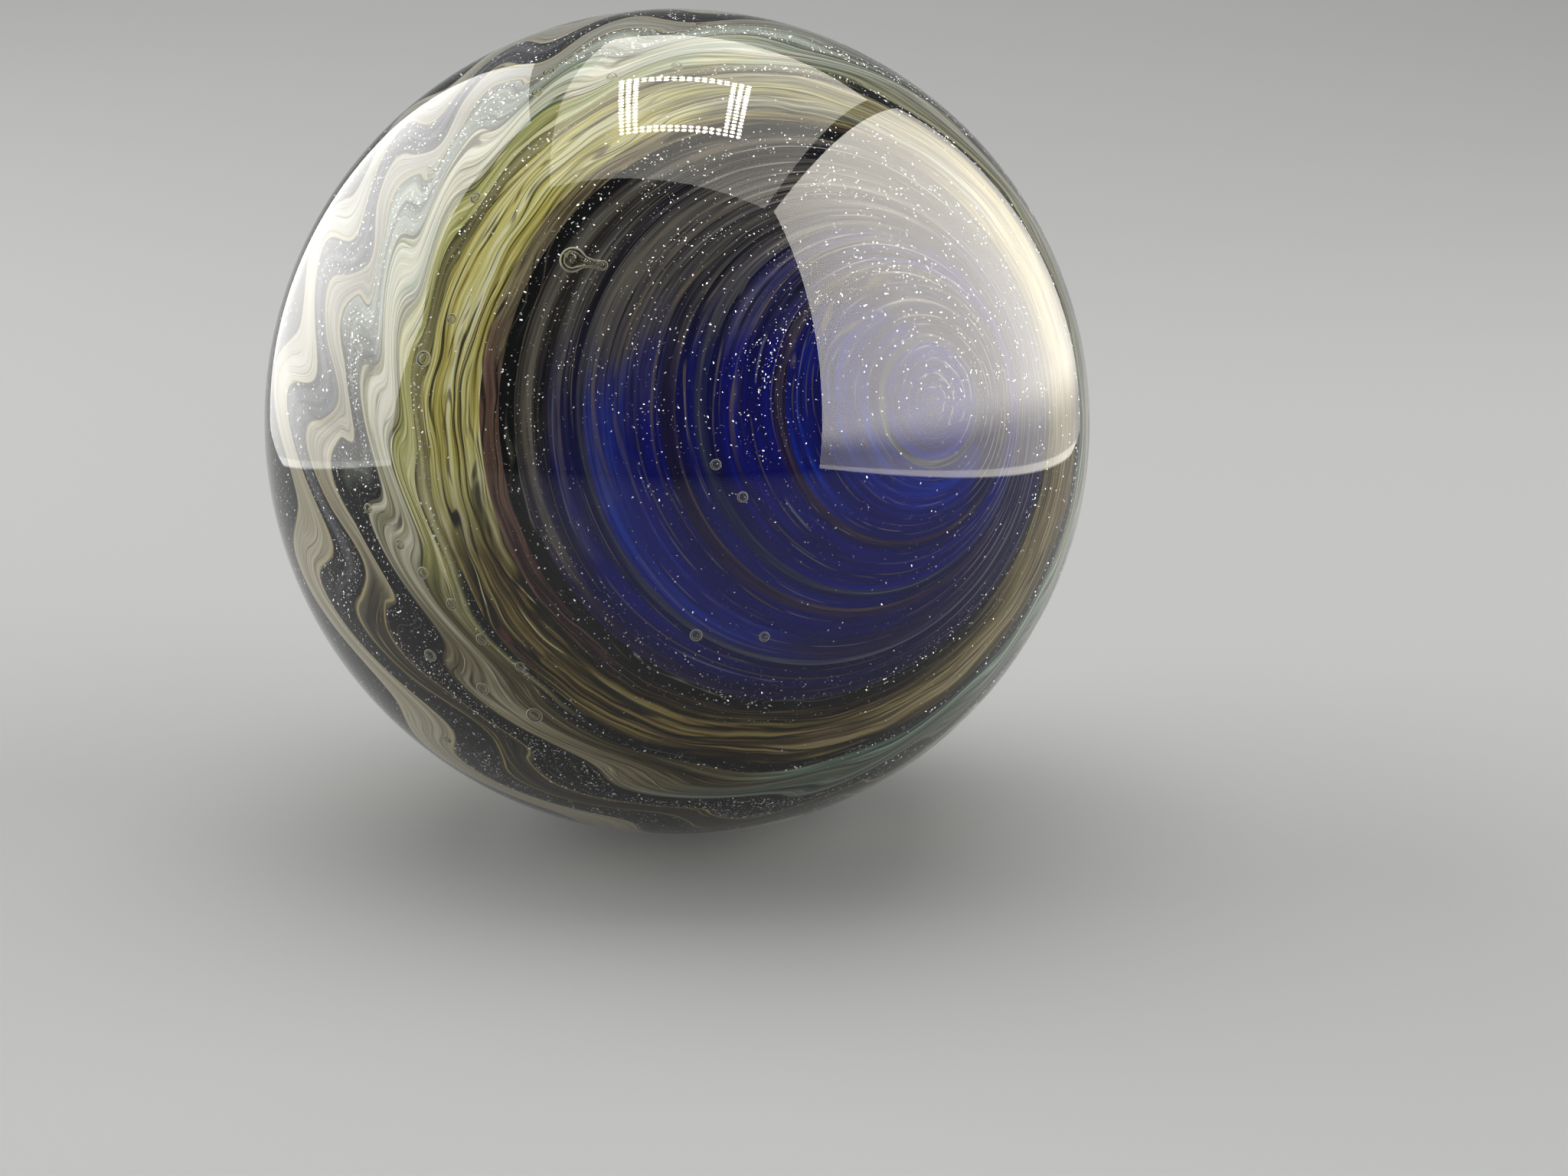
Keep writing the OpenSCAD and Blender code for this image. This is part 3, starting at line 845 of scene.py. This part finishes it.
def flakeMetal():
    material, tree, output = blank("glitterMetal")
    metal = addNode(
        tree, "ShaderNodeBsdfPrincipled", Base_Color=paint("f4f4f8"), Roughness=0.35, Metallic=1.0)
    feed(output.inputs["Surface"], metal.outputs[0])
    return material


def makeGlitterTree():
    tree, given, out = newTree("glitterTree", [
        ("Bed", "Object", None), ("Flakes Per Square Metre", "Float", 1e6),
        ("Flake Size", "Float", glitter["size"]),
        ("Lowest", "Float", glitter["lift"][0]), ("Highest", "Float", glitter["lift"][1]),
        ("Least Radius", "Float", colourRadius * 0.999), ("Seed", "Int", 1), ("Metal", "Material", None),
    ])
    source = addNode(tree, "GeometryNodeObjectInfo", {"transform_space": "ORIGINAL"}, Object=given["Bed"])
    spot = addNode(tree, "GeometryNodeInputPosition").outputs[0]
    reach = calc("LENGTH", spot, kind="ShaderNodeVectorMath", output="Value")
    outer = calc("GREATER_THAN", reach, given["Least Radius"])
    ring, circle = (
        addNode(tree, "GeometryNodeInputNamedAttribute", {"data_type": kind}, Name=label).outputs[0]
        for label, kind in (("ring", "FLOAT"), ("around", "FLOAT_VECTOR")))
    drifts = noise(along(circle, ring, 3.5, 0.6), 3.0, 0.6)
    drifted = atLeast(ease(drifts, 0.42, 0.66), glitter["driftLeast"])
    near = toward(circle, glitter["eyeTurn"])
    overEye = atLeast(ease(near, -0.6, 0.5), glitter["eyeLeast"])
    gathered = calc("MAXIMUM", ease(ring, 34, 40), overEye)
    thick = product(byRing(ring, glitter["byRing"]), drifted, gathered)
    scatter = addNode(
        tree, "GeometryNodeDistributePointsOnFaces", {"distribute_method": "RANDOM"},
        Mesh=source.outputs["Geometry"], Selection=outer, Seed=given["Seed"],
        Density=product(given["Flakes Per Square Metre"], thick))
    seeds = glitter["seeds"]
    lift = addNode(tree, "FunctionNodeRandomValue", {"data_type": "FLOAT"}, Seed=seeds["lift"])
    feed(lift.inputs[2], given["Lowest"])
    feed(lift.inputs[3], given["Highest"])
    raised = addNode(
        tree, "GeometryNodeSetPosition", Geometry=scatter.outputs["Points"],
        Offset=scaled(scatter.outputs["Normal"], lift.outputs[1]))
    flake = addNode(tree, "GeometryNodeMeshUVSphere", Segments=5, Rings=2, Radius=0.5)
    flat = addNode(tree, "GeometryNodeTransform", Geometry=flake.outputs["Mesh"], Scale=glitter["shape"])
    tip = addNode(tree, "FunctionNodeRandomValue", {"data_type": "FLOAT_VECTOR"}, Seed=seeds["tip"])
    feed(tip.inputs[0], (-glitter["tip"], -glitter["tip"], -math.pi))
    feed(tip.inputs[1], (glitter["tip"], glitter["tip"], math.pi))
    spin = addNode(
        tree, "FunctionNodeRotateRotation", {"rotation_space": "LOCAL"},
        Rotation=scatter.outputs["Rotation"], Rotate_By=tip.outputs[0])
    spread = addNode(tree, "FunctionNodeRandomValue", {"data_type": "FLOAT"}, Seed=seeds["size"])
    least, most = glitter["sizes"]
    rarer = calc("POWER", spread.outputs[1], glitter["fewLarge"])
    share = calc("MULTIPLY_ADD", rarer, most - least, least)
    placed = addNode(
        tree, "GeometryNodeInstanceOnPoints", Points=raised.outputs[0], Instance=flat.outputs[0],
        Rotation=spin.outputs[0], Scale=product(share, given["Flake Size"]))
    real = addNode(tree, "GeometryNodeRealizeInstances", Geometry=placed.outputs[0])
    faceted = addNode(tree, "GeometryNodeSetShadeSmooth", Geometry=real.outputs[0], Shade_Smooth=False)
    painted = addNode(tree, "GeometryNodeSetMaterial", Geometry=faceted.outputs[0], Material=given["Metal"])
    feed(out["Geometry"], painted.outputs[0])
    return tree


def makeGlitter():
    tree, metal = makeGlitterTree(), flakeMetal()
    for bed, (perSquareMillimetre, seed) in glitter["beds"].items():
        settle(growPiece(bed + "Glitter", tree, {
            "Bed": trails[bed], "Flakes Per Square Metre": perSquareMillimetre * 1e6, "Seed": seed,
            "Metal": metal, "Flake Size": glitter["coarse" if bed == "ground" else "size"],
        }), slots["ground"])


makeGlitter()
print("glitter: done")


# floor, light and camera

studio = {
    "floor": "c8c8c6",
    # metres and degrees: the floor sweeps up behind
    "near": -1.2, "flat": 0.2, "bend": 0.9, "bendSteps": 12, "steep": 60, "half": 1.5,
    "air": 0.2, "airColour": "e8ebee",  # even light from all round
    # soft boxes light the marble: where they stand, which way they face, their size and brightness
    "boxes": [
        ("leftBox", (-0.4, 0.1, 0.24), (1, -0.2, -0.4), 0.5, 0.45, 2.1),
        ("rightBox", (0.4, -0.05, 0.24), (-1, 0, -0.4), 0.5, 0.45, 1.6),
        ("topBox", (0, 0.1, 0.62), (0, -0.15, -1), 0.6, 0.6, 1.8),
    ],
    # cards stand closer and are seen in the glass alone: how bright they are from end to end, how much of
    # that is left at the foot and between which heights it comes back, and where their outline is cut
    "cardColour": "fffaee",
    "cutEdge": 0.004,  # how soft a cut is
    "hem": (0.7, 0.016, 0.01),  # the foot's pale hem: how bright, and where it ends
    "cards": {
        "rightCard": {
            "middle": (0.1, 0.014, 0.0916), "turned": (90, 13, 90), "size": (0.25, 0.251),
            "glow": {0: 7.5, 0.35: 9.4, 0.6: 8, 0.85: 4.1, 1: 1.9}, "foot": (0.33, 0.04, 0.11),
            "cuts": [(-0.13, 1, 0), (-0.21, -1, -0.975)],
        },
        "leftCard": {
            "middle": (-0.1, 0.09, 0.085), "turned": (90, 0, -90), "size": (0.25, 0.22),
            "glow": {0: 2.6, 0.46: 2.8, 0.66: 4.4, 1: 6.4}, "colour": "fbfaf7", "foot": (0.5, 0, 0.25),
            "cuts": [(-0.175, 1, -0.095), (-1, -0.56, -1.19), (1, 1.07, 0.4)],
        },
        "topCard": {
            "middle": (0.0218, 0.1299, 0.31), "turned": (0, 0, -11), "size": (0.279, 0.42),
            "glow": {0: 2.8, 1: 2.8},
        },
    },
    # a square ring of small lamps hangs overhead, its side and its strips counted in lamps, which are round
    "ring": {
        "middle": (0.003, 0.072, 0.3), "pitch": 0.007, "side": 18, "strips": (3, 2), "glow": 40.0,
        "dot": (0.42, 0.3),  # where a lamp ends and is full, as shares of the pitch
    },
}


def makeFloor():
    level = -marble["radius"]
    profile = [(studio["near"], level), (0, level)]
    bend = studio["bend"]
    for i in range(studio["bendSteps"] + 1):
        angle = math.radians(studio["steep"] * i / studio["bendSteps"])
        profile.append((studio["flat"] + bend * math.sin(angle), level + bend * (1 - math.cos(angle))))
    vertices = [(side * studio["half"], y, z) for y, z in profile for side in (-1, 1)]
    faces = [(2 * i, 2 * i + 1, 2 * i + 3, 2 * i + 2) for i in range(len(profile) - 1)]
    mesh = bpy.data.meshes.new("paleFloor")
    mesh.from_pydata(vertices, [], faces)
    for face in mesh.polygons:
        face.use_smooth = True
    material, tree, output = blank("floorPaint")
    matte = addNode(tree, "ShaderNodeBsdfPrincipled", Base_Color=paint(studio["floor"]), Roughness=0.7)
    matte.inputs["Specular IOR Level"].default_value = 0.0
    feed(output.inputs["Surface"], matte.outputs[0])
    mesh.materials.append(material)
    floor = addObject("paleFloor", mesh)


def addPanel(name, place, turned, size, brightness):
    lamp = bpy.data.lights.new(name, "AREA")
    lamp.shape = "RECTANGLE"
    lamp.size, lamp.size_y = size
    lamp.energy = brightness * math.pi * size[0] * size[1]
    panel = addObject(name, lamp)
    panel.location = place
    panel.rotation_euler = turned
    panel.visible_camera = False
    return panel


def addBox(name, place, facing, width, height, brightness):
    turned = Vector(facing).to_track_quat("-Z", "Y").to_euler()
    addPanel(name, place, turned, (width, height), brightness).visible_glossy = False


def addCard(name, card):  # turned in degrees, from facing down
    panel = addPanel(name, card["middle"], [math.radians(a) for a in card["turned"]], card["size"], 1.0)
    panel.visible_diffuse = False
    panel.data.use_nodes = True
    tree = panel.data.node_tree
    tree.nodes.clear()
    place = addNode(tree, "ShaderNodeNewGeometry").outputs["Parametric"]
    spot = addNode(tree, "ShaderNodeSeparateXYZ", Vector=place)
    x, y = spot.outputs["X"], spot.outputs["Y"]
    brightest = max(card["glow"].values())
    strength = product(brightest, ramp(x, {end: glow / brightest for end, glow in card["glow"].items()}))
    heights = [minus(total(product(x, a), product(y, b)), c) for a, b, c in card.get("cuts", [])]
    for height in heights:
        strength = product(strength, ease(height, 0, studio["cutEdge"]))
    if "foot" in card:
        least, low, high = card["foot"]
        rising = atLeast(ease(heights[0], low, high), least)
        bright, hemTop, hemFull = studio["hem"]
        hem = product(bright, ease(heights[0], hemTop, hemFull))
        strength = product(strength, calc("MAXIMUM", rising, hem))
    if "lamps" in card:
        places = [product(value, count) for value, count in zip((x, y), card["lamps"])]
        off = [minus(calc("FRACT", place), 0.5) for place in places]
        reach = calc("SQRT", total(product(off[0], off[0]), product(off[1], off[1])))
        strength = product(strength, ease(reach, *studio["ring"]["dot"]))
    colour = card.get("colour", studio["cardColour"])
    glow = addNode(tree, "ShaderNodeEmission", Color=paint(colour), Strength=strength)
    feed(addNode(tree, "ShaderNodeOutputLight").inputs["Surface"], glow.outputs[0])


def addCards():
    for name, card in studio["cards"].items():
        addCard(name, card)
    ring = studio["ring"]
    pitch, side, (wide, deep) = ring["pitch"], ring["side"], ring["strips"]
    strips = [(0, side - deep, side, deep), (0, deep - side, side, deep),
              (side - wide, 0, wide, side - 2 * deep), (wide - side, 0, wide, side - 2 * deep)]
    for i, (x, y, columns, rows) in enumerate(strips):
        x0, y0, z0 = ring["middle"]
        addCard("ringStrip%d" % (i + 1), {
            "middle": (x0 + x * pitch / 2, y0 + y * pitch / 2, z0), "turned": (0, 0, 0),
            "size": (columns * pitch, rows * pitch), "lamps": (columns, rows),
            "glow": {0: ring["glow"], 1: ring["glow"]},
        })


makeFloor()
for box in studio["boxes"]:
    addBox(*box)
addCards()

world = bpy.data.worlds.new("studioAir")
bpy.context.scene.world = world
world.use_nodes = True
sky = world.node_tree
sky.nodes.clear()
air = addNode(sky, "ShaderNodeBackground", Color=paint(studio["airColour"]), Strength=studio["air"])
feed(addNode(sky, "ShaderNodeOutputWorld").inputs["Surface"], air.outputs[0])

view = {
    "width": 2048, "height": 1536,  # the picture, in pixels
    "lens": 54, "sensor": 36,  # millimetres
    "pitch": -14.9,  # degrees, looking down
    "middle": (888.5, 557.5),  # pixel of the marble's middle
    "distance": 0.1336,  # from the lens to the marble's middle
}


def makeCamera():
    camera = addObject("camera", bpy.data.cameras.new("camera"))
    camera.data.lens, camera.data.sensor_width = view["lens"], view["sensor"]
    camera.data.clip_start, camera.data.clip_end = 0.005, 50
    pixels = view["width"] * view["lens"] / view["sensor"]
    x, y = view["middle"]
    ray = Vector(((x - view["width"] / 2) / pixels, (view["height"] / 2 - y) / pixels, -1))
    camera.rotation_euler = (math.radians(90 + view["pitch"]), 0, 0)
    ray.rotate(camera.rotation_euler)
    camera.location = -ray.normalized() * view["distance"]
    bpy.context.scene.camera = camera


makeCamera()
bpy.context.scene.view_settings.view_transform = "Standard"
print("studio: done")
